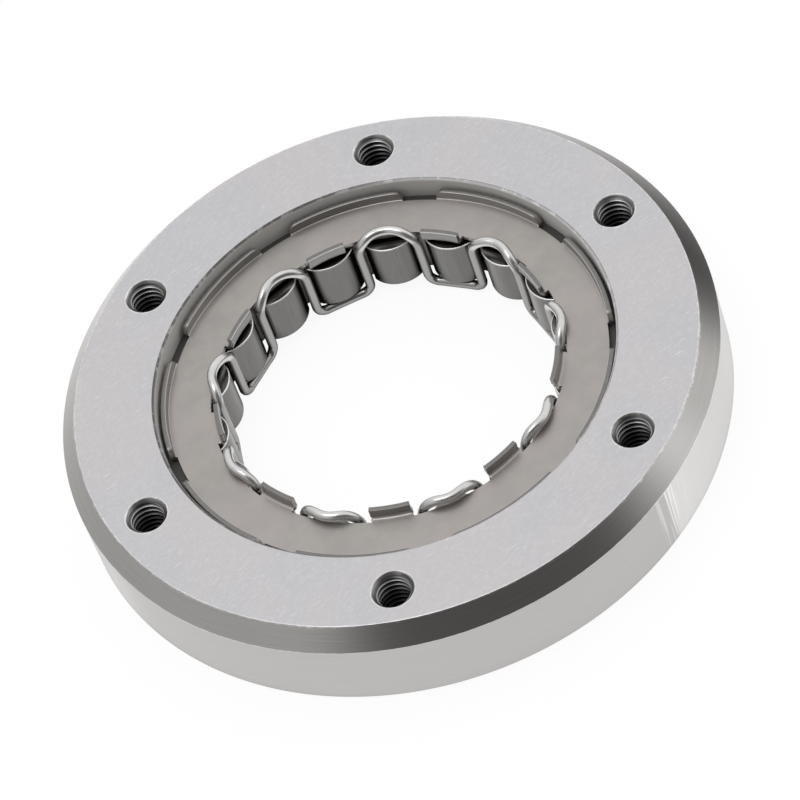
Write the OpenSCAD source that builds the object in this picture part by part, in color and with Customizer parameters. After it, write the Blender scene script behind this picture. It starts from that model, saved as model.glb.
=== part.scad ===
// Starter clutch: an outer race with a ring of sprags, held in a pressed cage by a
// serpentine wire spring. The axis is Z, the bolted rear face lies at z = 0 and the
// side with the countersunk cage faces up.

/* [Outer race] */
// Outer diameter of the race
race_d = 100; // [90:1:120]
// Thickness of the race, rear face to front face
race_h = 14.4; // [13:0.1:20]
// Radial width of the bevel round the front edge
bevel_w = 2.6; // [1:0.1:4]
// Height of the bevel round the front edge
bevel_h = 3.0; // [1:0.1:5]
// Width of the edge breaks on the race
edge_break = 0.4; // [0.2:0.05:0.8]
// Radius of the hardened track that the sprags grip
track_r = 33; // [31:0.1:34]
// Radial width of the shoulder that carries the cage flange
shoulder_w = 2; // [1.6:0.1:3]

/* [Bolt holes] */
// Number of threaded holes
bolt_n = 6; // [3:1:8]
// Diameter of the bolt circle
bolt_circle_d = 83.6; // [80:0.1:86]
// Tapping diameter of each thread
bolt_tap_d = 5; // [3:0.1:6]
// Radial width of the countersink at each end of a hole
bolt_sink = 0.7; // [0.3:0.1:1]

/* [Sprags] */
// Number of sprags, two for each loop of the wire
sprag_n = 18; // [14:2:18]
// Radius of the circle that the inner cams touch
bore_r = 25; // [24:0.1:26]
// Radius of the inner and outer cam faces
cam_r = 5; // [4.8:0.1:6]
// Sideways shift of the inner cam, which makes the sprag wedge one way
cam_shift = 0.4; // [0.1:0.1:0.6]
// Width of a sprag across its flat sides
sprag_w = 7.8; // [7:0.1:8]
// Width of the waist between the cams
waist_w = 5.6; // [5:0.1:6]
// Radius of the grooves that form the waist
waist_groove_r = 1.8; // [1.6:0.1:2]
// Bevel on the ends of the cam faces
sprag_bevel = 0.25; // [0.1:0.05:0.5]

/* [Cage] */
// Depth of the cage flange below the front face of the race
flange_depth = 3.1; // [2.6:0.1:3.6]
// Thickness of the pressed sheet
sheet_t = 0.75; // [0.5:0.05:1]
// Overhang of the inner cams past the inner edge of the flange
cam_overhang = 2.1; // [1.8:0.1:2.6]
// Turn of the cage from the first bolt hole, clockwise from the front
cage_turn = 0.6; // [-10:0.1:10]

/* [Lips and tabs] */
// Height of the outer lips above the flange
lip_rise = 1.5; // [1:0.1:2]
// Depth of the notches between the lips, past the bends into the flat of the flange
notch_bite = 0.05; // [0.05:0.05:0.3]
// Angle that each outer lip covers
lip_angle = 31; // [20:1:35]
// Inner radius of the bend at the foot of a lip
lip_bend_r = 0.2; // [0.1:0.05:0.4]
// Slant at the ends of a lip, from upright
lip_slant = 35; // [0:5:45]
// Height of the corner breaks at the top of a lip's ends
lip_corner = 0.5; // [0.2:0.1:0.8]
// Height of the inner tabs above the flange
tab_rise = 1.7; // [1:0.1:2.2]
// Width of an inner tab
tab_w = 6.2; // [4:0.1:6.8]
// Inner radius of the bend at the foot of a tab
tab_bend_r = 0.45; // [0.2:0.05:0.6]
// Reach of an inner tab from the flange edge to its outer face
tab_reach = 0.75; // [0.6:0.05:0.9]

/* [Spring wire] */
// Diameter of the wire
wire_d = 1.5; // [1.2:0.1:1.6]
// Half of what the upper loops are wider than the sprag pitch, as an angle about the axis
loop_spread = 0.1; // [-0.4:0.1:0.3]
// Bend radius at the top corners of the wire, at its centre
upper_bend_r = 3.2; // [1.6:0.1:3.6]
// Bend radius at the bottom corners of the wire, at its centre
lower_bend_r = 1.6; // [1.2:0.1:1.7]
// Outward bow of the upper loops in their middle
bow_out = 1; // [0:0.1:1.2]
// Inward bow of the lower loops in their middle
bow_in = 0.2; // [0:0.1:0.3]

/* [Clearances] */
// Running gap between the outer cams and the track
track_gap = 0.06; // [0.03:0.01:0.1]
// Gap between the sprag ends and the flange
flange_gap = 0.5; // [0.2:0.05:0.6]
// Gap between the sprag ends and the lower loops and lower ring of the cage
end_gap = 0.2; // [0.15:0.05:0.5]
// Gap between the flange and the shoulder that it rests on
seat_gap = 0.1; // [0.05:0.05:0.2]
// Gap between the outer lips and the counterbore
lip_gap = 0.55; // [0.3:0.05:0.8]
// Gap between the wire and the edge of the flange
wire_gap = 0.3; // [0.2:0.05:0.4]
// Gap on each side between a sprag's waist and its window
window_gap = 0.5; // [0.4:0.05:0.7]
// Height of the lower loops above the rear face of the race
rear_gap = 0.1; // [0.1:0.1:1]

/* [Hidden] */
function sprag_name(index) = str("sprag_", index < 9 ? "0" : "", index + 1);
$fn = 180;
over = 1;   // overlap of a cutting body past the face it cuts

// Every second sprag sits under an upper loop of the wire, the others behind a tab
loop_n = sprag_n / 2;
sprag_pitch = 360 / sprag_n;
loop_pitch = 360 / loop_n;
top_angle = 90;   // the first bolt hole and the first sprag lie on +Y

// Heights, from the front face down and from the rear face up
flange_z1 = race_h - flange_depth;
flange_z0 = flange_z1 - sheet_t;
shoulder_z = flange_z0 - seat_gap;
sprag_z1 = flange_z0 - flange_gap;
lower_loop_z = rear_gap + wire_d / 2;
sprag_z0 = lower_loop_z + wire_d / 2 + end_gap;
ring_z0 = sprag_z0 - end_gap - sheet_t;
upper_loop_z = flange_z1 + wire_gap + wire_d / 2;
sprag_l = sprag_z1 - sprag_z0;

// Radii, from the track inwards
counterbore_r = track_r + shoulder_w;
lip_out_r = counterbore_r - lip_gap;
lip_in_r = lip_out_r - sheet_t;
flange_out_r = lip_in_r - lip_bend_r;
flange_in_r = bore_r + cam_overhang;
tab_out_r = flange_in_r - tab_reach;
leg_r = flange_in_r - wire_gap - wire_d / 2;
cam_top_r = track_r - track_gap;
outer_cam_at = cam_top_r - cam_r;
inner_cam_at = bore_r + cam_r;
waist_at = (cam_top_r + bore_r) / 2;
wall_in_r = waist_at - sheet_t / 2;
ring_out_r = cam_top_r - 2 * sheet_t;

// A pressed or turned section, spun about the axis over one angle centred on +X
module spun(angle) {
    rotate([0, 0, -angle / 2]) rotate_extrude(angle = angle) children();
}

// Copies at every angular step, the first one offset clockwise from +Y
module around(count, offset = 0) {
    for (i = [0:count - 1]) rotate([0, 0, top_angle - offset - i * 360 / count]) children();
}

// The race's section: track, shoulder, counterbore and bevelled outer edge
module race_section() {
    race_r = race_d / 2;
    polygon([
        [track_r + edge_break, 0],
        [race_r - edge_break, 0],
        [race_r, edge_break],
        [race_r, race_h - bevel_h],
        [race_r - bevel_w, race_h],
        [counterbore_r + edge_break, race_h],
        [counterbore_r, race_h - edge_break],
        [counterbore_r, shoulder_z],
        [track_r + edge_break / 2, shoulder_z],
        [track_r, shoulder_z - edge_break / 2],
        [track_r, edge_break],
    ]);
}

// A through hole at tapping size with a countersink at both ends
module bolt_hole() {
    tap_r = bolt_tap_d / 2;
    translate([0, 0, -over]) cylinder(h = race_h + 2 * over, r = tap_r);
    for (side = [0, 1]) translate([0, 0, side * race_h]) mirror([0, 0, side])
        translate([0, 0, -over]) cylinder(h = over + bolt_sink, r1 = tap_r + bolt_sink + over, r2 = tap_r);
}

module outer_race() {
    color("gainsboro") difference() {
        rotate_extrude() race_section();
        around(bolt_n) translate([bolt_circle_d / 2, 0, 0]) bolt_hole();
    }
}

// Section of a sheet edge that turns up at the inner side of the flange; the upright ends
// at x = 0 and the flange begins at x = bend_r
module bent_edge(rise, bend_r) {
    bend_h = sheet_t + bend_r;
    translate([-sheet_t, bend_h]) square([sheet_t, rise - bend_r]);
    intersection() {
        translate([bend_r, bend_h]) difference() {
            circle(bend_h);
            circle(bend_r);
        }
        translate([-sheet_t, 0]) square([bend_h, bend_h]);
    }
}

// The cage's whole section: lip, flange and tab in one sheet, with the wall and the lower
// ring below it
module cage_section() {
    tab_foot_r = tab_out_r + tab_bend_r;
    translate([tab_foot_r, flange_z0]) square([flange_out_r - tab_foot_r, sheet_t]);
    translate([tab_out_r, flange_z0]) bent_edge(tab_rise, tab_bend_r);
    translate([lip_in_r, flange_z0]) mirror([1, 0]) bent_edge(lip_rise, lip_bend_r);
    translate([wall_in_r, ring_z0]) square([sheet_t, flange_z0 - ring_z0]);
    translate([wall_in_r, ring_z0]) square([ring_out_r - wall_in_r, sheet_t]);
}

// What is cut away between two lips, past the flat flange: upright at the bend, then slanted,
// and flatter still at the top corners
module lip_gap_cut() {
    gap_angle = loop_pitch - lip_angle;
    half_w = lip_out_r * sin(gap_angle / 2);
    slant_z = sheet_t + 2 * lip_bend_r;
    corner_z = sheet_t + lip_rise - lip_corner;
    corner_w = half_w + (corner_z - slant_z) * tan(lip_slant);
    top_z = sheet_t + lip_rise + over;
    top_w = corner_w + (top_z - corner_z) * tan((90 + lip_slant) / 2);
    side = [[half_w, -over], [half_w, slant_z], [corner_w, corner_z], [top_w, top_z]];
    other_side = [for (i = [len(side) - 1:-1:0]) [-side[i][0], side[i][1]]];
    intersection() {
        spun(loop_pitch / 2) translate([flange_out_r - notch_bite, flange_z0 - over])
            square([shoulder_w, top_z + 2 * over]);
        translate([0, 0, flange_z0]) rotate([90, 0, 90]) linear_extrude(counterbore_r + over)
            polygon(concat(side, other_side));
    }
}

// What is cut away between two tabs, inside the flange
module tab_gap_cut() {
    tab_angle = 2 * asin(tab_w / 2 / tab_out_r);
    spun(loop_pitch - tab_angle) translate([bore_r - over, flange_z0 - over])
        square([flange_in_r - bore_r + over, sheet_t + tab_rise + 2 * over]);
}

// The slot in the cage wall that a sprag's waist passes through; a thin rim stays above it
module window() {
    window_z1 = sprag_z1 + flange_gap / 2;
    translate([wall_in_r - over, -waist_w / 2 - window_gap, sprag_z0 - end_gap / 2])
        cube([sheet_t + 2 * over, waist_w + 2 * window_gap, window_z1 - sprag_z0 + end_gap / 2]);
}

module cage() {
    color("darkgray") difference() {
        rotate_extrude() cage_section();
        around(sprag_n, cage_turn) window();
        around(loop_n, cage_turn + sprag_pitch / 2) lip_gap_cut();
        around(loop_n, cage_turn) tab_gap_cut();
    }
}

// A disc with bevelled rims, the full round of one cam face
module cam_disc() {
    rim_r = cam_r - sprag_bevel;
    rotate_extrude() polygon([
        [0, 0], [rim_r, 0], [cam_r, sprag_bevel],
        [cam_r, sprag_l - sprag_bevel], [rim_r, sprag_l], [0, sprag_l],
    ]);
}

// One end of a sprag: the part of a cam disc between its flat sides, from the waist outwards
// in the direction given by side
module sprag_end(disc_at, shift, side) {
    reach = cam_top_r - waist_at + over;
    intersection() {
        translate([disc_at, shift, 0]) cam_disc();
        translate([side > 0 ? waist_at : waist_at - reach, shift - sprag_w / 2, -over])
            cube([reach, sprag_w, sprag_l + 2 * over]);
    }
}

// One sprag, lying along +X: an end with a cam face at each side of the waist, and a groove
// down each flat side
module sprag_blank() {
    groove_at = waist_w / 2 + waist_groove_r;
    difference() {
        union() {
            sprag_end(outer_cam_at, 0, 1);
            sprag_end(inner_cam_at, -cam_shift, -1);
        }
        for (side = [-1, 1]) translate([waist_at, side * groove_at, -over])
            cylinder(h = sprag_l + 2 * over, r = waist_groove_r);
    }
}

module sprag(index) {
    color("dimgray") rotate([0, 0, top_angle - cage_turn - index * sprag_pitch])
        translate([0, 0, sprag_z0]) sprag_blank();
}

// Turn of the wire past the sprags, which brings its legs midway between the shifted inner cams
wire_turn = atan(cam_shift / inner_cam_at);

// The wire's centre line over half a loop pitch, from the middle of an upper loop to the
// middle of a lower one, as [length along the ring, height]
half_up = (sprag_pitch / 2 + loop_spread) * PI / 180 * leg_r;
half_pitch = sprag_pitch * PI / 180 * leg_r;
bend_steps = 4;
run_steps = 3;
function half_path() = concat(
    [for (i = [0:run_steps - 1]) [(half_up - upper_bend_r) * i / run_steps, upper_loop_z]],
    [for (i = [0:bend_steps]) let (a = 90 * i / bend_steps)
        [half_up - upper_bend_r * (1 - sin(a)), upper_loop_z - upper_bend_r * (1 - cos(a))]],
    [for (i = [0:bend_steps]) let (a = 90 * i / bend_steps)
        [half_up + lower_bend_r * (1 - cos(a)), lower_loop_z + lower_bend_r * (1 - sin(a))]],
    [for (i = [1:run_steps]) [half_up + lower_bend_r
        + (half_pitch - half_up - lower_bend_r) * i / run_steps, lower_loop_z]]);

// Radius of the centre line: the upper loops bow outwards over the flange and the lower ones
// inwards, each the most in its middle
function bow(along) = along < half_up
    ? leg_r + bow_out * pow(cos(90 * along / half_up), 2)
    : leg_r - bow_in * pow(cos(90 * (half_pitch - along) / (half_pitch - half_up)), 2);

// A point of the half line in space, seen from the middle of its upper loop: forwards on one
// side of it, backwards on the other
function ring_point(loop, point, side) = let (r = bow(point[0]),
        a = top_angle - cage_turn - wire_turn - loop * loop_pitch - side * point[0] / leg_r * 180 / PI)
    [r * cos(a), r * sin(a), point[1]];
function wire_points() = let (half = half_path(), last = len(half) - 1)
    [for (loop = [0:loop_n - 1]) each concat(
        [for (i = [0:last - 1]) ring_point(loop, half[i], 1)],
        [for (i = [last:-1:1]) ring_point(loop + 1, half[i], -1)])];

// Closed sweep of a round section along a closed line
wire_sides = 8;
function unit(v) = v / norm(v);
function sweep_ring(points, i) = let (n = len(points), p = points[i],
        along = unit(points[(i + 1) % n] - points[(i + n - 1) % n]),
        side = unit(cross(along, [p[0], p[1], 0])), up = cross(side, along))
    [for (k = [0:wire_sides - 1]) let (a = 360 * (k + 0.5) / wire_sides)
        p + wire_d / 2 * (cos(a) * side + sin(a) * up)];
module closed_sweep(points) {
    n = len(points);
    polyhedron(
        points = [for (i = [0:n - 1]) each sweep_ring(points, i)],
        faces = [for (i = [0:n - 1], k = [0:wire_sides - 1])
            let (j = (i + 1) % n, m = (k + 1) % wire_sides,
                 a = i * wire_sides + k, b = i * wire_sides + m,
                 c = j * wire_sides + m, d = j * wire_sides + k)
            each [[a, b, c], [a, c, d]]]);
}

module spring_wire() {
    color("silver") closed_sweep(wire_points());
}

outer_race();
cage();
spring_wire();
for (i = [0:sprag_n - 1])
    sprag(i);
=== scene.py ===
# Looks of the starter clutch: a ground race with threaded holes, a pressed cage, a bright
# serpentine wire and sprags with a fine polish, on a pale studio floor.
import math
import bmesh
import bpy
from mathutils import Matrix, Vector


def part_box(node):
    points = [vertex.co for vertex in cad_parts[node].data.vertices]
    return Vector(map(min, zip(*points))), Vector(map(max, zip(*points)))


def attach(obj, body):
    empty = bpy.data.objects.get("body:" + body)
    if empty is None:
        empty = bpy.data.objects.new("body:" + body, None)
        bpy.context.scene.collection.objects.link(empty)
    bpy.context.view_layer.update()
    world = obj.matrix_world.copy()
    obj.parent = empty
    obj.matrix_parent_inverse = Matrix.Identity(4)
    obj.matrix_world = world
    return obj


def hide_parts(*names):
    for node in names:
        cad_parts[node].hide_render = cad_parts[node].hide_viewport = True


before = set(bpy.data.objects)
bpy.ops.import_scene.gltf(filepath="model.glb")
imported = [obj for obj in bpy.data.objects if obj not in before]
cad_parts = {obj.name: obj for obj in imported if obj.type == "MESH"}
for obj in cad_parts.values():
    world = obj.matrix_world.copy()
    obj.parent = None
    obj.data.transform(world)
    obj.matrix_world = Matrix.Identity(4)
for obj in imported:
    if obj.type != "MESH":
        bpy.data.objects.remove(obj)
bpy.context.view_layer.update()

# Sizes of the solids, in metres
MM = 0.001
RACE_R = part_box("outer_race")[1].x
RACE_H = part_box("outer_race")[1].z
BEVEL_W = 2.6 * MM
BEVEL_H = 3.0 * MM
EDGE_BREAK = 0.4 * MM
TRACK_R = 33 * MM
SHOULDER_W = 2 * MM
COUNTERBORE_R = TRACK_R + SHOULDER_W
BOLT_N = 6
BOLT_CIRCLE_R = 41.8 * MM
TAP_R = 2.5 * MM
THREAD_DEPTH = 0.54 * MM
THREAD_PITCH = 1 * MM
SINK = 0.7 * MM

SHEET_T = 0.75 * MM
SHEET_ROUND = 0.07 * MM
FLANGE_DEPTH = 3.1 * MM
FLANGE_Z1 = RACE_H - FLANGE_DEPTH
FLANGE_Z0 = FLANGE_Z1 - SHEET_T
FLANGE_MID = FLANGE_Z0 + SHEET_T / 2
FLANGE_IN_R = 27.1 * MM
FLANGE_OUT_R = 33.45 * MM
SHOULDER_GAP = 0.1 * MM
SHOULDER_Z = FLANGE_Z0 - SHOULDER_GAP

LIP_GAP = 0.55 * MM
LIP_RISE = 1.5 * MM
LIP_MID_R = COUNTERBORE_R - LIP_GAP - SHEET_T / 2
LIP_TOP = FLANGE_Z1 + LIP_RISE
LIP_BEND_R = 0.2 * MM + SHEET_T / 2
LIP_HALF_ANGLE = 15.5
LIP_SLANT = 35
LIP_SLANT_RISE = 0.4 * MM
LIP_CORNER_R = 1.0 * MM
LIP_CORNER_STEPS = 4

TAB_INSET = 0.75 * MM
TAB_RISE = 1.7 * MM
TAB_MID_R = FLANGE_IN_R - TAB_INSET - SHEET_T / 2
TAB_TOP = FLANGE_Z1 + TAB_RISE
TAB_BEND_R = 0.45 * MM + SHEET_T / 2
TAB_W = 6.2 * MM

WALL_R = 28.97 * MM
WINDOW_HALF_ANGLE = 6.5
WINDOW_GAP_UNDER = 0.1 * MM
WINDOW_GAP_OVER = 0.25 * MM
RING_OUT_R = 31.44 * MM
RING_GAP = 0.2 * MM
RING_BEND_R = 0.45 * MM

SPRAG_N = 18
SPRAG_Z0 = 1.8 * MM
SPRAG_Z1 = 10.05 * MM
SPRAG_W = 7.8 * MM
SPRAG_WAIST_W = 5.6 * MM
WAIST_GROOVE_R = 1.8 * MM
SPRAG_ROUND = 0.22 * MM
CAM_R = 5 * MM
CAM_SHIFT = 0.4 * MM
CAM_GAP = 0.06 * MM
BORE_R = 25 * MM
OUTER_CAM_AT = TRACK_R - CAM_GAP - CAM_R
INNER_CAM_AT = BORE_R + CAM_R
WAIST_AT = (OUTER_CAM_AT + INNER_CAM_AT) / 2

WIRE_D = 1.5 * MM
WIRE_GAP = 0.3 * MM
WIRE_CLEAR_OF_REAR = 0.1 * MM
WIRE_R = FLANGE_IN_R - WIRE_GAP - WIRE_D / 2
WIRE_TOP = FLANGE_Z1 + WIRE_GAP + WIRE_D / 2
WIRE_LOW = WIRE_CLEAR_OF_REAR + WIRE_D / 2
WIRE_UPPER_BEND_R = 3.2 * MM
WIRE_LOWER_BEND_R = 1.6 * MM
WIRE_LOOP_HALF_ANGLE = 10.1
WIRE_BOW_OUT = 1.0 * MM
WIRE_BOW_IN = 0.2 * MM

# Angles run clockwise from +Y, in degrees; the cage is turned a little from the first hole
LOOP_PITCH = 40
SPRAG_PITCH = 20
CAGE_TURN = 0.6
WIRE_TURN = CAGE_TURN + math.degrees(math.atan(CAM_SHIFT / INNER_CAM_AT))
STEP_ANGLE = 0.5
TINY = 0.001 * MM


# Modelling by hand

def only(*pieces):
    """Selects these pieces and nothing else, the first one active."""
    bpy.ops.object.select_all(action="DESELECT")
    for piece in pieces:
        piece.select_set(True)
    if pieces:
        bpy.context.view_layer.objects.active = pieces[0]


def new_piece(name):
    """Names the primitive that was just added."""
    piece = bpy.context.object
    piece.name = piece.data.name = name
    return piece


def edit(piece):
    """Goes into edit mode on this piece."""
    only(piece)
    bpy.ops.object.mode_set(mode="EDIT")


def leave_edit():
    """Goes back to object mode."""
    bpy.ops.object.mode_set(mode="OBJECT")


def pick(piece, kind, test):
    """In edit mode, selects the vertices, edges or faces whose middle passes the test."""
    bpy.ops.mesh.select_mode(type=kind)
    bpy.ops.mesh.select_all(action="DESELECT")
    mesh = bmesh.from_edit_mesh(piece.data)
    for part in {"VERT": mesh.verts, "EDGE": mesh.edges, "FACE": mesh.faces}[kind]:
        corners = [part] if kind == "VERT" else part.verts
        if test(sum((corner.co for corner in corners), Vector()) / len(corners)):
            part.select_set(True)
    bmesh.update_edit_mesh(piece.data)


def draw_line(name, points):
    """A line in the plane y = 0 through points (r, z), extruded from one vertex. It stays in
    edit mode."""
    only()
    bpy.ops.mesh.primitive_plane_add(size=MM)
    piece = new_piece(name)
    edit(piece)
    bpy.ops.mesh.select_mode(type="VERT")
    bpy.ops.mesh.select_all(action="SELECT")
    bpy.ops.mesh.merge(type="CENTER")
    at = (0, 0)
    for i, point in enumerate(points):
        step = {"value": (point[0] - at[0], 0, point[1] - at[1])}
        if i == 0:
            bpy.ops.transform.translate(**step)
        else:
            bpy.ops.mesh.extrude_vertices_move(TRANSFORM_OT_translate=step)
        at = point
    return piece


def round_corners(piece, points, size, segments):
    """Rounds the corners of a drawn line that lie at these points (r, z)."""
    pick(piece, "VERT", lambda at: any(abs(at.x - r) + abs(at.z - z) < TINY for r, z in points))
    bpy.ops.mesh.bevel(offset=size, segments=segments, affect="VERTICES")


def spin_round(steps):
    """Spins the drawn line a full turn about Z and leaves edit mode."""
    bpy.ops.mesh.select_all(action="SELECT")
    bpy.ops.mesh.spin(steps=steps, angle=2 * math.pi, center=(0, 0, 0), axis=(0, 0, 1),
                      use_auto_merge=True)
    tidy_mesh()
    leave_edit()


def tidy_mesh():
    """Merges doubles and turns the faces outwards, in edit mode."""
    bpy.ops.mesh.select_all(action="SELECT")
    bpy.ops.mesh.remove_doubles(threshold=TINY)
    bpy.ops.mesh.normals_make_consistent(inside=False)


def modify(piece, kind, **settings):
    """Adds a modifier and applies it."""
    only(piece)
    modifier = piece.modifiers.new(kind.lower(), kind)
    for name, value in settings.items():
        setattr(modifier, name, value)
    bpy.ops.object.modifier_apply(modifier=modifier.name)


def combine(piece, tool, operation):
    """Cuts, joins or keeps what the tool covers, and removes the tool."""
    modify(piece, "BOOLEAN", operation=operation, solver="EXACT", object=tool)
    bpy.data.objects.remove(tool)


def soften(piece, width, segments=2, angle=40):
    """Breaks the edges that are sharper than the angle."""
    modify(piece, "BEVEL", width=width, segments=segments, limit_method="ANGLE",
           angle_limit=math.radians(angle), use_clamp_overlap=False)


def shade(piece, angle=35):
    """Smooth shading that keeps flat faces flat."""
    only(piece)
    bpy.ops.object.shade_smooth_by_angle(angle=math.radians(angle))
    modify(piece, "WEIGHTED_NORMAL", keep_sharp=True)


def settle(piece):
    """Puts the piece's place into its mesh, so that the object sits at the origin."""
    only(piece)
    bpy.ops.object.transform_apply(location=True, rotation=True, scale=True)
    return piece


def turned(piece, clockwise):
    """Turns a mesh about the clutch axis."""
    piece.data.transform(Matrix.Rotation(-math.radians(clockwise), 4, "Z"))
    return piece


def copy_of(piece, name, clockwise):
    """A copy with a mesh of its own, turned about the clutch axis."""
    twin = piece.copy()
    twin.data = piece.data.copy()
    twin.name = twin.data.name = name
    bpy.context.scene.collection.objects.link(twin)
    return turned(twin, clockwise)


def joined(pieces):
    """Makes one mesh of the pieces."""
    only(*pieces)
    bpy.ops.object.join()
    return pieces[0]


def clockwise_angle(place):
    """Degrees clockwise from +Y, seen from the front."""
    return (90 - math.degrees(math.atan2(place.y, place.x))) % 360


def from_centre(place, centre, pitch):
    """Degrees from the nearest of the places that repeat every pitch, one of them at centre."""
    return (clockwise_angle(place) - centre + pitch / 2) % pitch - pitch / 2


def radius(place):
    """How far a place lies from the clutch axis."""
    return math.hypot(place.x, place.y)


# The race

RACE_STEPS = 360
RACE_ROUND = 0.08 * MM
THREAD_STEPS = 48
SINK_STEPS = 72


def race_ring():
    """The ring, spun from its outline, before the holes are cut."""
    corners = [
        (TRACK_R + EDGE_BREAK, 0),
        (RACE_R - EDGE_BREAK, 0),
        (RACE_R, EDGE_BREAK),
        (RACE_R, RACE_H - BEVEL_H),
        (RACE_R - BEVEL_W, RACE_H),
        (COUNTERBORE_R + EDGE_BREAK, RACE_H),
        (COUNTERBORE_R, RACE_H - EDGE_BREAK),
        (COUNTERBORE_R, SHOULDER_Z),
        (TRACK_R + EDGE_BREAK / 2, SHOULDER_Z),
        (TRACK_R, SHOULDER_Z - EDGE_BREAK / 2),
        (TRACK_R, EDGE_BREAK),
    ]
    ring = draw_line("race_ring", corners)
    bpy.ops.mesh.select_all(action="SELECT")
    bpy.ops.mesh.edge_face_add()
    inner_corner = (COUNTERBORE_R, SHOULDER_Z)
    outer_corners = [corner for corner in corners if corner != inner_corner]
    round_corners(ring, outer_corners, RACE_ROUND, segments=2)
    bpy.ops.mesh.select_mode(type="FACE")
    bpy.ops.mesh.select_all(action="SELECT")
    bpy.ops.mesh.delete(type="ONLY_FACE")
    spin_round(RACE_STEPS)
    return ring


def thread_rod():
    """A threaded bar through one hole: where it is cut away, the thread is left."""
    crest, flank, root = THREAD_PITCH / 4, THREAD_PITCH * 5 / 16, THREAD_PITCH / 8
    heights = [0, crest, crest + flank, crest + flank + root, THREAD_PITCH]
    reach = TAP_R + THREAD_DEPTH
    start = -2 * THREAD_PITCH
    rod = draw_line("thread_rod", [(r, start + z) for r, z in
                                   zip([TAP_R, TAP_R, reach, reach, TAP_R], heights)])
    leave_edit()
    turns = round((RACE_H + 4 * THREAD_PITCH) / THREAD_PITCH)
    modify(rod, "SCREW", axis="Z", screw_offset=THREAD_PITCH, iterations=turns,
           steps=THREAD_STEPS, render_steps=THREAD_STEPS, use_merge_vertices=True,
           merge_threshold=TINY)
    edit(rod)
    for height, side in ((-SINK, -1), (RACE_H + SINK, 1)):
        bpy.ops.mesh.select_all(action="SELECT")
        bpy.ops.mesh.bisect(plane_co=(0, 0, height), plane_no=(0, 0, side), use_fill=True,
                            clear_outer=True, threshold=TINY)
    tidy_mesh()
    leave_edit()
    rod.data.transform(Matrix.Translation((0, BOLT_CIRCLE_R, 0)))
    return rod


def countersink_cutter():
    """The cones that open one hole at both faces."""
    past = 0.3 * MM
    wide, narrow = TAP_R + SINK + past, TAP_R - past
    depth = wide - narrow
    cones = []
    for low_r, high_r, middle in ((wide, narrow, depth / 2 - past),
                                  (narrow, wide, RACE_H + (past - depth / 2))):
        only()
        bpy.ops.mesh.primitive_cone_add(vertices=SINK_STEPS, radius1=low_r, radius2=high_r,
                                        depth=depth, location=(0, BOLT_CIRCLE_R, middle))
        cones.append(settle(new_piece("countersink_cutter")))
    return joined(cones)


def at_each_hole(cutter):
    """Joins a cutter with its copies at the other holes."""
    copies = [copy_of(cutter, f"{cutter.name}_{i}", i * 360 / BOLT_N) for i in range(1, BOLT_N)]
    return joined([cutter] + copies)


def build_race():
    """The ring with its threaded and countersunk holes."""
    race = race_ring()
    combine(race, at_each_hole(thread_rod()), "DIFFERENCE")
    combine(race, at_each_hole(countersink_cutter()), "DIFFERENCE")
    shade(race)
    return race


# The cage

BEND_STEPS = 5
# The slant of a lip's end fades over this angle
SLOPED = 8 * STEP_ANGLE


def spun_sheet(name, points, bends):
    """A sheet's middle line spun about the axis. Each bend is a corner and its radius."""
    sheet = draw_line(name, points)
    for corner, size in bends:
        round_corners(sheet, [corner], size, BEND_STEPS)
    spin_round(round(360 / STEP_ANGLE))
    return sheet


def cut_faces(piece, test):
    """Deletes the faces whose middle passes the test."""
    edit(piece)
    pick(piece, "FACE", test)
    bpy.ops.mesh.delete(type="FACE")
    leave_edit()


def slide(piece, slide_of):
    """Slides each vertex clockwise about the axis and down, by the degrees and the drop that
    slide_of gives."""
    for vertex in piece.data.vertices:
        angle, drop = slide_of(vertex.co)
        vertex.co.rotate(Matrix.Rotation(-math.radians(angle), 3, "Z"))
        vertex.co.z -= drop


def thicken(piece):
    """Gives a middle surface its sheet thickness and soft edges."""
    modify(piece, "SOLIDIFY", thickness=SHEET_T, offset=0, use_even_offset=True)
    soften(piece, SHEET_ROUND, angle=50)
    shade(piece)
    return turned(piece, CAGE_TURN)


def lip_round(step):
    """The way in and down from a lip's sharp top corner to a point of its round, counted in
    steps from the end of the lip."""
    full = math.radians(90 - LIP_SLANT)
    turn = full * (1 - step / LIP_CORNER_STEPS)
    inset = LIP_CORNER_R * (math.tan(full / 2) - math.sin(turn))
    return inset, LIP_CORNER_R * (1 - math.cos(turn))


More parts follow.
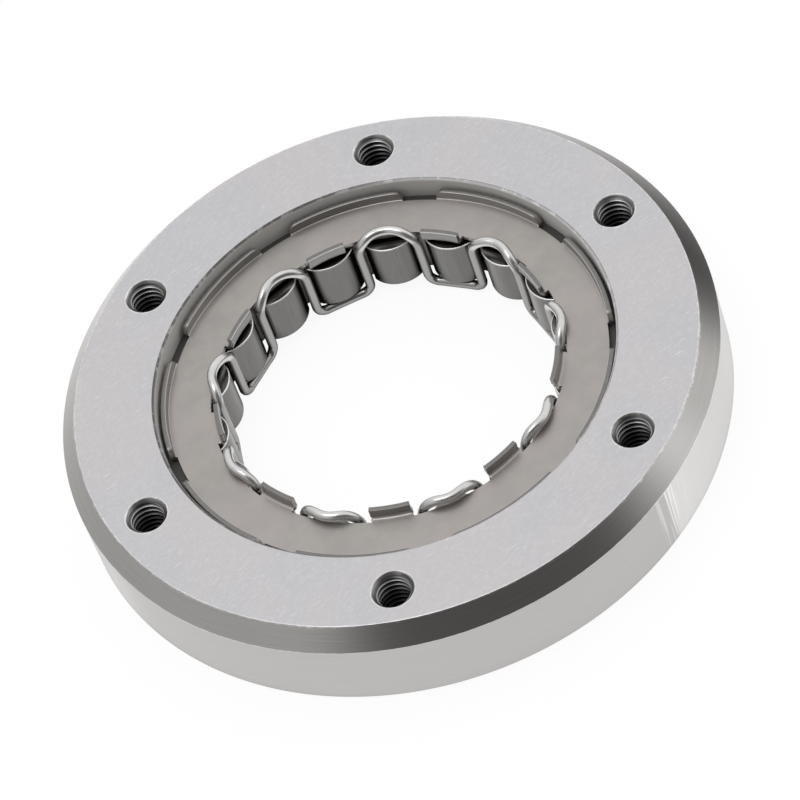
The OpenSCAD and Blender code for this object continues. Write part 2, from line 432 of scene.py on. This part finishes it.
def build_cage_flange():
    """The flange with its inner tabs and outer lips."""
    tab_corner, lip_corner = (TAB_MID_R, FLANGE_MID), (LIP_MID_R, FLANGE_MID)
    flange = spun_sheet(
        "cage_flange",
        [(TAB_MID_R, TAB_TOP), tab_corner, (FLANGE_IN_R, FLANGE_MID),
         (FLANGE_OUT_R, FLANGE_MID), lip_corner, (LIP_MID_R, LIP_TOP)],
        [(tab_corner, TAB_BEND_R), (lip_corner, LIP_BEND_R)])
    tab_half = math.degrees(math.asin(TAB_W / 2 / TAB_MID_R))
    tab_lines = int(tab_half / STEP_ANGLE) * STEP_ANGLE

    def off_tab(at):
        return from_centre(at, SPRAG_PITCH, LOOP_PITCH)

    def off_lip(at):
        return from_centre(at, SPRAG_PITCH * 1.5, LOOP_PITCH)

    cut_faces(flange, lambda at: radius(at) < FLANGE_IN_R and abs(off_tab(at)) > tab_lines)
    cut_faces(flange, lambda at: radius(at) > FLANGE_OUT_R and abs(off_lip(at)) > LIP_HALF_ANGLE)
    slant_z = FLANGE_Z1 + LIP_SLANT_RISE

    def end_slide(at):
        """Brings the ends of the tabs to their width, slants the ends of the lips and rounds
        their top corners."""
        if radius(at) < FLANGE_IN_R - TINY:
            off = off_tab(at)
            at_end = abs(off) > tab_lines - TINY
            return math.copysign(tab_half - tab_lines, off) if at_end else 0, 0
        if at.z < slant_z:
            return 0, 0
        off = off_lip(at)
        inside = max(0, LIP_HALF_ANGLE - abs(off))
        lean = math.degrees((at.z - slant_z) * math.tan(math.radians(LIP_SLANT)) / radius(at))
        step = round(inside / STEP_ANGLE)
        if at.z > LIP_TOP - TINY and step <= LIP_CORNER_STEPS:
            inset, drop = lip_round(step)
            lean += math.degrees(inset / radius(at)) - inside
            return math.copysign(lean, -off), drop
        return math.copysign(lean * max(0, 1 - inside / SLOPED), -off), 0

    slide(flange, end_slide)
    return thicken(flange)


def build_cage_drum():
    """The wall under the flange, with a window for each sprag, and the lower ring."""
    ring_mid = SPRAG_Z0 - RING_GAP - SHEET_T / 2
    low, high = SPRAG_Z0 - WINDOW_GAP_UNDER, SPRAG_Z1 + WINDOW_GAP_OVER
    corner = (WALL_R, ring_mid)
    drum = spun_sheet(
        "cage_drum",
        [(RING_OUT_R, ring_mid), corner, (WALL_R, low), (WALL_R, high), (WALL_R, FLANGE_MID)],
        [(corner, RING_BEND_R)])
    cut_faces(drum, lambda at: low < at.z < high
              and abs(from_centre(at, 0, SPRAG_PITCH)) < WINDOW_HALF_ANGLE)
    return thicken(drum)


# The wire

HALF_UP = math.radians(WIRE_LOOP_HALF_ANGLE) * WIRE_R
HALF_PITCH = math.radians(LOOP_PITCH / 2) * WIRE_R


def wire_half_loop():
    """Half a loop as (length along the ring, height), from the middle of an upper loop to the
    middle of a lower one."""
    runs, turns = 8, 10
    quarter = [math.pi / 2 * i / turns for i in range(turns + 1)]
    big, small = WIRE_UPPER_BEND_R, WIRE_LOWER_BEND_R
    upper = [((HALF_UP - big) * i / runs, WIRE_TOP) for i in range(runs)]
    down = [(HALF_UP - big * (1 - math.sin(a)), WIRE_TOP - big * (1 - math.cos(a)))
            for a in quarter]
    out = [(HALF_UP + small * (1 - math.cos(a)), WIRE_LOW + small * (1 - math.sin(a)))
           for a in quarter]
    last = HALF_PITCH - HALF_UP - small
    lower = [(HALF_UP + small + last * i / runs, WIRE_LOW) for i in range(1, runs + 1)]
    leg = [(HALF_UP, down[-1][1] + (out[0][1] - down[-1][1]) * i / runs) for i in range(1, runs)]
    return upper + down + leg + out + lower


def wire_point(loop, point, side):
    """A point of the half loop in space, bowed out over the flange or in below the sprags;
    side is 1 or -1 from the middle of the upper loop."""
    along, height = point
    if along < HALF_UP:
        r = WIRE_R + WIRE_BOW_OUT * math.cos(math.pi / 2 * along / HALF_UP) ** 2
    else:
        below = (HALF_PITCH - along) / (HALF_PITCH - HALF_UP)
        r = WIRE_R - WIRE_BOW_IN * math.cos(math.pi / 2 * below) ** 2
    angle = math.radians(90 - WIRE_TURN - loop * LOOP_PITCH) - side * along / WIRE_R
    return (r * math.cos(angle), r * math.sin(angle), height, 1)


def build_wire():
    """The closed serpentine, one round tube along its line."""
    half = wire_half_loop()
    points = []
    for loop in range(360 // LOOP_PITCH):
        points += [wire_point(loop, point, 1) for point in half[:-1]]
        points += [wire_point(loop + 1, point, -1) for point in half[:0:-1]]
    curve = bpy.data.curves.new("wire", "CURVE")
    curve.dimensions = "3D"
    curve.bevel_depth = WIRE_D / 2
    curve.bevel_resolution = 4
    line = curve.splines.new("POLY")
    line.points.add(len(points) - 1)
    line.points.foreach_set("co", [value for point in points for value in point])
    line.use_cyclic_u = True
    wire = bpy.data.objects.new("serpentine_wire", curve)
    bpy.context.scene.collection.objects.link(wire)
    only(wire)
    bpy.ops.object.convert(target="MESH")
    wire = bpy.context.object
    edit(wire)
    tidy_mesh()
    leave_edit()
    shade(wire, 60)
    return wire


# The sprags

def sprag_bar(x, y, r):
    """An upright cylinder, longer than a sprag."""
    only()
    bpy.ops.mesh.primitive_cylinder_add(vertices=180, radius=r, depth=2 * (SPRAG_Z1 - SPRAG_Z0),
                                        location=(x, y, (SPRAG_Z0 + SPRAG_Z1) / 2))
    return settle(new_piece("sprag_bar"))


def sprag_end(x, y, side):
    """The half of a sprag on one side of the waist: a cam disc between flat sides."""
    reach = TRACK_R - WAIST_AT
    only()
    bpy.ops.mesh.primitive_cube_add(
        size=1, location=(x, WAIST_AT + side * reach / 2, (SPRAG_Z0 + SPRAG_Z1) / 2),
        scale=(SPRAG_W, reach, SPRAG_Z1 - SPRAG_Z0))
    end = settle(new_piece("sprag_end"))
    combine(end, sprag_bar(x, y, CAM_R), "INTERSECT")
    return end


def build_sprag():
    """One sprag along +Y: two cam faces, flat sides and a waist."""
    sprag = sprag_end(0, OUTER_CAM_AT, 1)
    combine(sprag, sprag_end(CAM_SHIFT, INNER_CAM_AT, -1), "UNION")
    groove_at = SPRAG_WAIST_W / 2 + WAIST_GROOVE_R
    for side in (-1, 1):
        combine(sprag, sprag_bar(side * groove_at, WAIST_AT, WAIST_GROOVE_R), "DIFFERENCE")
    soften(sprag, SPRAG_ROUND, segments=3, angle=25)
    shade(sprag, 30)
    return sprag


# Node maths

class Number:
    """A number socket whose operators add maths nodes."""

    def __init__(self, finish, socket):
        self.finish = finish
        self.socket = socket

    def __add__(self, other):
        return self.finish.maths("ADD", self, other)

    __radd__ = __add__

    def __sub__(self, other):
        return self.finish.maths("SUBTRACT", self, other)

    def __rsub__(self, other):
        return self.finish.maths("SUBTRACT", other, self)

    def __mul__(self, other):
        return self.finish.maths("MULTIPLY", self, other)

    __rmul__ = __mul__

    def __pow__(self, other):
        return self.finish.maths("POWER", self, other)

    def __mod__(self, other):
        return self.finish.maths("FLOORED_MODULO", self, other)


class Finish:
    """A node tree, of a material or of the world, and the nodes added to it."""

    def __init__(self, owner):
        owner.use_nodes = True
        self.owner = owner
        self.tree = owner.node_tree
        self.tree.nodes.clear()

    def node(self, kind, settings=None, sockets=None, output=0):
        """Adds a node: its settings first, then the values or links of its sockets."""
        node = self.tree.nodes.new(kind)
        for name, value in (settings or {}).items():
            setattr(node, name, value)
        for name, value in (sockets or {}).items():
            if isinstance(value, Number):
                self.tree.links.new(value.socket, node.inputs[name])
            else:
                node.inputs[name].default_value = value
        return None if output is None else Number(self, node.outputs[output])

    def maths(self, operation, first, second=0.0):
        return self.node("ShaderNodeMath", {"operation": operation}, {0: first, 1: second})

    def mix(self, share, first, second):
        """The first colour where the share is zero, the second where it is one."""
        return self.node("ShaderNodeMix", {"data_type": "RGBA"},
                         {"Factor": share, 6: first, 7: second}, output=2)

    def ease(self, value, start, end):
        """Zero before start, one after end, smooth between them."""
        return self.node("ShaderNodeMapRange", {"interpolation_type": "SMOOTHSTEP"},
                         {"Value": value, "From Min": start, "From Max": end})

    def size_of(self, value):
        """The value without its sign."""
        return self.maths("ABSOLUTE", value)

    def near(self, value, place, reach):
        """One where the value is at the place, falling to zero at this reach from it."""
        return 1 - self.ease(self.size_of(value - place), 0, reach)

    def noise(self, place, scale, detail=2, rough=0.5):
        """Noise from zero to one, with this many cells to a unit of the place."""
        return self.node("ShaderNodeTexNoise", {},
                         {"Vector": place, "Scale": scale, "Detail": detail, "Roughness": rough})

    def parts(self, vector):
        """The X, Y and Z parts of a vector."""
        split = self.node("ShaderNodeSeparateXYZ", {}, {"Vector": vector}).socket.node
        return [Number(self, output) for output in split.outputs]

    def vector(self, x, y, z):
        return self.node("ShaderNodeCombineXYZ", {}, {"X": x, "Y": y, "Z": z})

    def stretched(self, place, size, turn=0):
        """The place counted in cells of this size, on axes turned about Z by these degrees."""
        return self.node("ShaderNodeMapping", {"vector_type": "TEXTURE"},
                         {"Vector": place, "Rotation": (0, 0, math.radians(turn)), "Scale": size})


def colour(red, green, blue):
    """An opaque colour, its parts in linear light."""
    return (red, green, blue, 1)


class MetalFinish(Finish):
    """A metal: the nodes that make its marks, and the shader that they feed."""

    def __init__(self, name):
        super().__init__(bpy.data.materials.new(name))
        self.place = self.node("ShaderNodeTexCoord", output=3)
        self.x, self.y, self.z = self.parts(self.place)
        self.radius = (self.x * self.x + self.y * self.y) ** 0.5
        self.angle = self.maths("ARCTAN2", self.y, self.x)
        self.upward = self.parts(self.node("ShaderNodeNewGeometry", output=1))[2]

    def at_bearing(self, degrees, reach):
        """One at this bearing from +X, falling to zero at this reach from it in radians."""
        return self.near(self.angle, math.radians(degrees), reach)

    def past_bearing(self, start, end):
        """Zero before the first bearing from +X in degrees, one after the second."""
        return self.ease(self.angle, math.radians(start), math.radians(end))

    def strokes(self, length, width, turn, detail=1):
        """Noise drawn out to strokes of this length and width, turned by these degrees."""
        return self.noise(self.stretched(self.place, (length, width, MM), turn), 1, detail)

    def turning_lines(self, lines, detail):
        """Noise in rings about the axis, with this many lines to a metre of height."""
        return self.noise(self.vector(self.angle * 3, self.z * lines, 0), 1, detail)

    def shader(self, base, rough, height, depth, metallic=1.0):
        """Joins the colour, the roughness and the height, of this depth in metres, to the
        shader and gives the material."""
        bump = self.node("ShaderNodeBump", {}, {"Height": height, "Distance": depth})
        shader = self.node("ShaderNodeBsdfPrincipled", {}, {
            "Base Color": base, "Roughness": rough, "Metallic": metallic, "Normal": bump})
        self.node("ShaderNodeOutputMaterial", {}, {"Surface": shader}, output=None)
        return self.owner


def hole_distance(metal):
    """How far a point of the race lies from the axis of the nearest bolt hole."""
    pitch = 2 * math.pi / BOLT_N
    turn = (metal.angle + (pitch - math.pi) / 2) % pitch - pitch / 2
    along = metal.radius * metal.maths("COSINE", turn) - BOLT_CIRCLE_R
    across = metal.radius * metal.maths("SINE", turn)
    return (along * along + across * across) ** 0.5


def ground_steel(metal):
    """The colour of the ground face: faint tinted blotches, grinding marks, nicks and a few
    longer scratches."""
    tint = metal.ease(metal.noise(metal.place, 60, 1), 0.42, 0.58)
    blotch = metal.noise(metal.place, 120)
    marks = metal.ease(metal.strokes(0.8 * MM, 0.3 * MM, 41, detail=3), 0.42, 0.75)
    base = metal.mix(tint, colour(0.545, 0.545, 0.57), colour(0.585, 0.555, 0.565))
    base = metal.mix(blotch * 0.5, base, colour(0.60, 0.59, 0.595))
    base = metal.mix(marks * 0.35, base, colour(0.72, 0.71, 0.71))
    nicks = metal.ease(metal.strokes(0.9 * MM, 0.2 * MM, 48), 0.72, 0.82)
    cross_nicks = metal.ease(metal.strokes(0.6 * MM, 0.22 * MM, -10), 0.73, 0.84)
    scratches = metal.ease(metal.strokes(2.2 * MM, 0.16 * MM, 30, detail=0), 0.76, 0.84)
    sparse = metal.ease(metal.noise(metal.place, 150, 1), 0.5, 0.6)
    bright = nicks + cross_nicks + scratches * sparse
    return metal.mix(bright * 0.5, base, colour(0.92, 0.91, 0.92))


def turned_side(metal):
    """The colour of the side: turning lines, paler zones of painted reflection and a patch of
    slanting streaks.
    """
    rings = metal.turning_lines(4000, detail=2)
    base = metal.mix(rings, colour(0.49, 0.475, 0.465), colour(0.55, 0.535, 0.525))
    # Painted reflections: the side is made paler at these bearings.
    front_right = metal.past_bearing(-38.5, -36.5) * (1 - metal.past_bearing(-35, -8))
    painted_reflection = (metal.at_bearing(-5, 0.5) * 0.7 + front_right
                + metal.at_bearing(-150, 0.2) * 0.4)
    base = metal.mix(painted_reflection, base, colour(0.74, 0.73, 0.72))
    streaks = metal.noise(metal.vector(metal.angle * 130, metal.z * 60, 0), 1, 1)
    streaked = metal.ease(streaks, 0.55, 0.65) * metal.at_bearing(-37, 0.1)
    return metal.mix(streaked * 0.7, base, colour(0.95, 0.95, 0.94))


def turned_bevel(metal):
    """The colour of the bevel: turning lines, paler towards the back and at the front right,
    where reflections are painted in.
    """
    rings = metal.turning_lines(4500, detail=3)
    base = metal.mix(rings, colour(0.40, 0.385, 0.37), colour(0.51, 0.495, 0.48))
    # Painted reflections: the bevel is made paler at these bearings.
    painted_reflection_zones = metal.at_bearing(122, 0.7) + metal.at_bearing(-30, 0.2) * 0.7
    return metal.mix(painted_reflection_zones, base, colour(0.60, 0.59, 0.585))


def edge_highlights(metal, base, from_hole, at_face, outside):
    """Paints highlights onto the base colour, in patches: the rims of the bevel and the holes,
    the corner over the side, and the edge of the counterbore, painted dark as shade on its left."""
    rim_w = 0.22 * MM
    ragged = (metal.noise(metal.place, 1400) - 0.5) * 0.5 * MM
    bevel_rim = metal.near(metal.radius + ragged, RACE_R - BEVEL_W, rim_w)
    hole_rim = metal.near(from_hole + ragged * 0.3, TAP_R + SINK, rim_w)
    corner = metal.near(metal.z, RACE_H - BEVEL_H, 0.12 * MM) * outside
    highlight_patches = metal.ease(metal.noise(metal.place, 450, detail=5, rough=0.7), 0.3, 0.7)
    rims = (bevel_rim * 0.7 + hole_rim) * at_face + corner * 0.7
    step_edge = metal.near(metal.radius, COUNTERBORE_R + EDGE_BREAK / 2, 0.3 * MM) * at_face
    # Painted shade on the left of the counterbore edge, and a painted highlight on its right.
    right = metal.ease(metal.x, -12 * MM, 8 * MM)
    base = metal.mix(step_edge * (1 - right) * 0.8, base, colour(0.22, 0.215, 0.21))
    # Painted highlights along the rims and the corner, in patches.
    bright = rims * highlight_patches + step_edge * (right * 0.6 + metal.ease(highlight_patches, 0.5, 0.9) * 0.4)
    return metal.mix(bright, base, colour(0.97, 0.96, 0.97))


def thread_colour(metal, from_hole, depth):
    """Crests paler than the flanks near the face, and painted black as shade further into the
    hole.
    """
    crest = metal.near(from_hole, TAP_R, 0.2 * MM)
    # Painted shade: black deeper into the hole.
    painted_depth_shade = metal.ease(depth, 0.8 * MM, 4.5 * MM)
    base = metal.mix(crest, colour(0.13, 0.128, 0.128), colour(0.52, 0.51, 0.51))
    return metal.mix(painted_depth_shade, base, colour(0.03, 0.03, 0.032))


def race_finish():
    """Ground faces, a turned bevel and side with painted reflections, painted highlights along
    the edges, painted light and shade inside the bore, and dark threads.
    """
    metal = MetalFinish("ground_race_steel")
    depth = RACE_H / 2 - metal.size_of(metal.z - RACE_H / 2)
    flat = metal.ease(metal.size_of(metal.upward), 0.85, 0.95)
    face = flat * (1 - metal.ease(depth, 0.9 * MM, MM))
    bevel_in_r, bevel_low = RACE_R - BEVEL_W, RACE_H - BEVEL_H
    outside = metal.ease(metal.radius, bevel_in_r - 0.6 * MM, bevel_in_r - 0.5 * MM)
    bevel = metal.ease(metal.z, bevel_low - TINY, bevel_low + TINY) * outside * (1 - face)
    # Painted light and shade inside the bore: the inner walls get a pale colour that stands in
    # for light, and the shoulder a dark one that stands in for shade.
    shoulder = metal.ease(metal.upward, 0.5, 0.8)
    bore = metal.mix(shoulder, colour(0.82, 0.80, 0.77), colour(0.10, 0.098, 0.095))
    base = metal.mix(outside, bore, turned_side(metal))
    base = metal.mix(bevel, base, turned_bevel(metal))
    base = metal.mix(face, base, ground_steel(metal))

    from_hole = hole_distance(metal)
    at_face = 1 - metal.ease(depth, 0.4 * MM, 0.45 * MM)
    base = edge_highlights(metal, base, from_hole, at_face, outside)
    near_tap = 1 - metal.ease(from_hole, TAP_R + 0.55 * MM, TAP_R + 0.65 * MM)
    thread = near_tap * metal.ease(depth, 0.35 * MM, 0.45 * MM)
    base = metal.mix(thread, base, thread_colour(metal, from_hole, depth))

    sink_r = TAP_R + SINK
    off_hole = metal.ease(from_hole, sink_r + 0.3 * MM, sink_r + 0.5 * MM)
    inside = (1 - outside) * (1 - face) * off_hole
    wall = inside * (1 - shoulder)
    grain = metal.noise(metal.place, 9000)
    rough = 0.33 + grain * 0.08 - bevel * off_hole * 0.13 + inside * 0.25
    metallic = 1 - wall * 0.6 - face * 0.35
    return metal.shader(base, rough, grain, 0.003 * MM, metallic)


def cage_finish():
    """Satin pressed sheet, with darker sheared edges on the lips and tabs, upright faces painted
    paler as light, tab faces painted dark as shade and painted highlights along the top corners.
    """
    metal = MetalFinish("satin_pressed_sheet")
    mottle = metal.ease(metal.noise(metal.place, 300, 3, 0.6), 0.3, 0.7)
    tint = metal.ease(metal.noise(metal.place, 70, 1), 0.4, 0.7)
    base = metal.mix(mottle, colour(0.37, 0.352, 0.335), colour(0.41, 0.385, 0.365))
    base = metal.mix(tint * 0.35, base, colour(0.44, 0.40, 0.39))
    # Painted light and shade: the upright faces above the flange are made paler, and the faces of
    # the tabs towards the axis darker.
    above_flange = metal.ease(metal.z, FLANGE_Z1, FLANGE_Z1 + 0.2 * MM)
    upright = (1 - metal.ease(metal.upward, 0.2, 0.7)) * above_flange
    base = metal.mix(upright, base, colour(0.45, 0.435, 0.425))
    tab_painted_shade = upright * (1 - metal.ease(metal.radius, TAB_MID_R - SHEET_T / 3, TAB_MID_R))
    base = metal.mix(tab_painted_shade, base, colour(0.30, 0.29, 0.28))

    shear = metal.noise(metal.vector(metal.angle * 150, metal.radius * 600, 0), 1)
    sheared = (metal.ease(metal.z, FLANGE_Z1 + 0.5 * MM, FLANGE_Z1 + 0.7 * MM)
               * metal.ease(metal.upward, 0.75, 0.95))
    dark = metal.mix(shear, colour(0.17, 0.165, 0.16), colour(0.27, 0.26, 0.25))
    base = metal.mix(sheared, base, dark)

    def painted_corner_highlight(mid_r, top):
        """A painted highlight along the corner at the top of the inner faces of the lips or tabs.
        """
        return (metal.near(metal.radius, mid_r - SHEET_T / 2, 0.14 * MM)
                * metal.ease(metal.z, top - 0.16 * MM, top - 0.1 * MM))

    corner = painted_corner_highlight(LIP_MID_R, LIP_TOP) + painted_corner_highlight(TAB_MID_R, TAB_TOP)
    base = metal.mix(corner * 0.8, base, colour(0.75, 0.74, 0.72))
    grain = metal.noise(metal.place, 12000)
    return metal.shader(base, 0.36 + grain * 0.1, grain, 0.004 * MM)


def wire_finish():
    """Drawn wire, bright where it shows over the flange and painted darker as shade below it,
    between the sprags.
    """
    metal = MetalFinish("bright_drawn_wire")
    patches = metal.noise(metal.place, 700)
    base = metal.mix(patches, colour(0.57, 0.565, 0.555), colour(0.75, 0.745, 0.735))
    # Painted shade: darker below the flange, between the sprags.
    low = 1 - metal.ease(metal.z, FLANGE_Z1 - MM, FLANGE_Z1)
    base = metal.mix(low * 0.85, base, colour(0.32, 0.315, 0.305))
    grain = metal.noise(metal.place, 5000, 3)
    return metal.shader(base, 0.23 + grain * 0.12, grain, 0.004 * MM)


def sprag_finish():
    """Dark sprags with a fine polish and fine grinding lines along the axis, painted shade on
    their clockwise side and a painted highlight along their rounded top edge.
    """
    metal = MetalFinish("polished_sprag_steel")
    lines = metal.noise(metal.stretched(metal.place, (0.3 * MM, 0.3 * MM, 4 * MM)), 1)
    base = metal.mix(lines, colour(0.15, 0.147, 0.143), colour(0.215, 0.21, 0.205))
    pitch = math.radians(SPRAG_PITCH)
    turn = (metal.angle - math.radians(90 - CAGE_TURN) + pitch / 2) % pitch - pitch / 2
    clockwise = metal.radius * turn * -1
    # Painted shade on the clockwise side of each sprag.
    shaded = metal.ease(clockwise, 1.5 * MM, 2.2 * MM)
    base = metal.mix(shaded * 0.15, base, colour(0.08, 0.078, 0.077))
    end = metal.ease(metal.upward, 0.97, 0.995)
    base = metal.mix(end, base, colour(0.17, 0.168, 0.165))
    # Painted highlight along the rounded edge of the top end.
    painted_rim_highlight = metal.ease(metal.upward, 0.15, 0.4) * (1 - end)
    base = metal.mix(painted_rim_highlight, base, colour(0.97, 0.96, 0.95))
    return metal.shader(base, 0.17 + lines * 0.08 + painted_rim_highlight * 0.25, lines, 0.002 * MM)


# Assembly

def dress(piece, finish, body, nodes):
    """Gives a piece its finish, its body and the solids that it stands for."""
    piece.data.materials.clear()
    piece.data.materials.append(finish)
    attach(piece, body)
    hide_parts(*nodes)


def build_clutch():
    """All the pieces, each with its finish and its body."""
    dress(build_race(), race_finish(), "race", ["outer_race"])
    sheet = cage_finish()
    for part in (build_cage_flange(), build_cage_drum()):
        dress(part, sheet, "cage_set", ["cage"])
    dress(build_wire(), wire_finish(), "cage_set", ["spring_wire"])
    blank = build_sprag()
    polish = sprag_finish()
    for i in range(SPRAG_N):
        node = f"sprag_{i + 1:02d}"
        sprag = copy_of(blank, f"cam_{node}", CAGE_TURN + i * SPRAG_PITCH)
        dress(sprag, polish, node, [node])
    bpy.data.objects.remove(blank)


# The studio

# Where the camera stands, fitted to the rims and holes in the photograph: bearing from +X,
# height above the horizon and roll in degrees, distance and aim in metres
CAMERA_BEARING = -75.80
CAMERA_RISE = 49.76
CAMERA_ROLL = -20.99
CAMERA_DISTANCE = 0.6682
CAMERA_AIM = Vector((2.334, -7.868, 14.4)) * MM
# Focal length and width of the film, in millimetres
CAMERA_LENS = 205.5
CAMERA_FILM = 36

FLOOR_R = 100 * MM
FLOOR_GAP = 0.02 * MM


def direction(bearing, rise):
    """The unit vector towards a bearing from +X and a height above the horizon, in degrees."""
    bearing, rise = math.radians(bearing), math.radians(rise)
    return Vector((math.cos(rise) * math.cos(bearing), math.cos(rise) * math.sin(bearing),
                   math.sin(rise)))


def facing(bearing, rise, roll=0):
    """The turn of a camera or lamp that stands in this direction and looks back."""
    back = direction(bearing, rise)
    right = Vector((0, 0, 1)).cross(back).normalized()
    turn = Matrix((right, back.cross(right), back)).transposed()
    return (turn @ Matrix.Rotation(math.radians(roll), 3, "Z")).to_4x4()


def build_camera():
    """The camera, where the photograph was taken from."""
    lens = bpy.data.cameras.new("studio_camera")
    lens.lens = CAMERA_LENS
    lens.sensor_width = CAMERA_FILM
    lens.clip_start = 10 * MM
    camera = bpy.data.objects.new("studio_camera", lens)
    bpy.context.scene.collection.objects.link(camera)
    stand = CAMERA_AIM + CAMERA_DISTANCE * direction(CAMERA_BEARING, CAMERA_RISE)
    turn = facing(CAMERA_BEARING, CAMERA_RISE, CAMERA_ROLL)
    camera.matrix_world = Matrix.Translation(stand) @ turn
    bpy.context.scene.camera = camera


def build_lamp(name, bearing, rise, distance, size, watts):
    """A square soft lamp that looks at the middle of the clutch."""
    light = bpy.data.lights.new(name, "AREA")
    light.size = size
    light.energy = watts
    lamp = bpy.data.objects.new(name, light)
    bpy.context.scene.collection.objects.link(lamp)
    stand = distance * direction(bearing, rise)
    lamp.matrix_world = Matrix.Translation(stand) @ facing(bearing, rise)


def build_floor():
    """A pale floor that the camera sees nearly white. Metal mirrors it bright, apart from the
    part under the race, where shade is painted into what it mirrors, and, more faintly, the far
    parts at the back right and on the left, painted dark as reflections."""
    only()
    bpy.ops.mesh.primitive_circle_add(vertices=96, radius=FLOOR_R, fill_type="NGON")
    floor = new_piece("studio_floor")
    floor.location.z = -FLOOR_GAP
    settle(floor)
    paint = Finish(bpy.data.materials.new("pale_floor"))
    camera_ray = paint.node("ShaderNodeLightPath", output="Is Camera Ray")
    glossy_ray = paint.node("ShaderNodeLightPath", output="Is Glossy Ray")
    x, y, _ = paint.parts(paint.node("ShaderNodeTexCoord", output=3))
    from_axis = (x * x + y * y) ** 0.5
    # Painted shade: what metal mirrors of the floor is dark under the race.
    under = (paint.ease(from_axis, TRACK_R - 10 * MM, TRACK_R - 6 * MM)
             * (1 - paint.ease(from_axis, RACE_R - 0.5 * MM, RACE_R + 0.5 * MM)))
    # Painted dark reflections at the back right and on the left.
    back_right = paint.ease(x * 0.64 + y * 0.77, 52 * MM, 90 * MM) * 0.9
    left = paint.ease(x * -1, 55 * MM, 95 * MM) * 0.35
    mirrored = glossy_ray * (1 - under) * (1 - back_right) * (1 - left)
    matt = paint.node("ShaderNodeBsdfDiffuse", {}, {"Color": colour(0.8, 0.8, 0.8)})
    white = paint.node("ShaderNodeEmission", {}, {"Color": colour(1, 1, 1), "Strength": 1.05})
    lit = paint.node("ShaderNodeMixShader", {}, {0: camera_ray + mirrored, 2: white})
    lit_share = (camera_ray + glossy_ray) * 0.88
    seen = paint.node("ShaderNodeMixShader", {}, {0: lit_share, 1: matt, 2: lit})
    paint.node("ShaderNodeOutputMaterial", {}, {"Surface": seen}, output=None)
    floor.data.materials.append(paint.owner)


def build_world():
    """A bright studio with three dark screens. The camera sees it white."""
    world = bpy.data.worlds.new("studio")
    bpy.context.scene.world = world
    sky = Finish(world)
    way = sky.node("ShaderNodeTexCoord", output=0)
    camera_ray = sky.node("ShaderNodeLightPath", output="Is Camera Ray")

    def screen(bearing, rise, start, end):
        """One towards this direction. The cosine of the angle from it is start where the
        screen begins, and end where it is full."""
        cosine = sky.node("ShaderNodeVectorMath", {"operation": "DOT_PRODUCT"},
                          {0: way, 1: direction(bearing, rise)}, output=1)
        return sky.ease(cosine, start, end)

    front = screen(-66, 26, 0.55, 0.86) * 0.87
    left = screen(-165, 5, 0.2, 0.9) * 0.35
    back = screen(56, -7, 0.84, 1.0) * 0.92
    level = (1 - front) * (1 - left) * (1 - back)
    white = sky.node("ShaderNodeBackground", {}, {"Color": colour(1, 1, 1), "Strength": 1.0})
    seen = sky.node("ShaderNodeMixShader", {}, {0: level + camera_ray * (1 - level), 2: white})
    sky.node("ShaderNodeOutputWorld", {}, {"Surface": seen}, output=None)


build_camera()
build_floor()
build_world()
build_lamp("key_lamp", bearing=-150, rise=75, distance=0.9, size=0.35, watts=1.3)
build_clutch()
bpy.context.scene.view_settings.view_transform = "Standard"
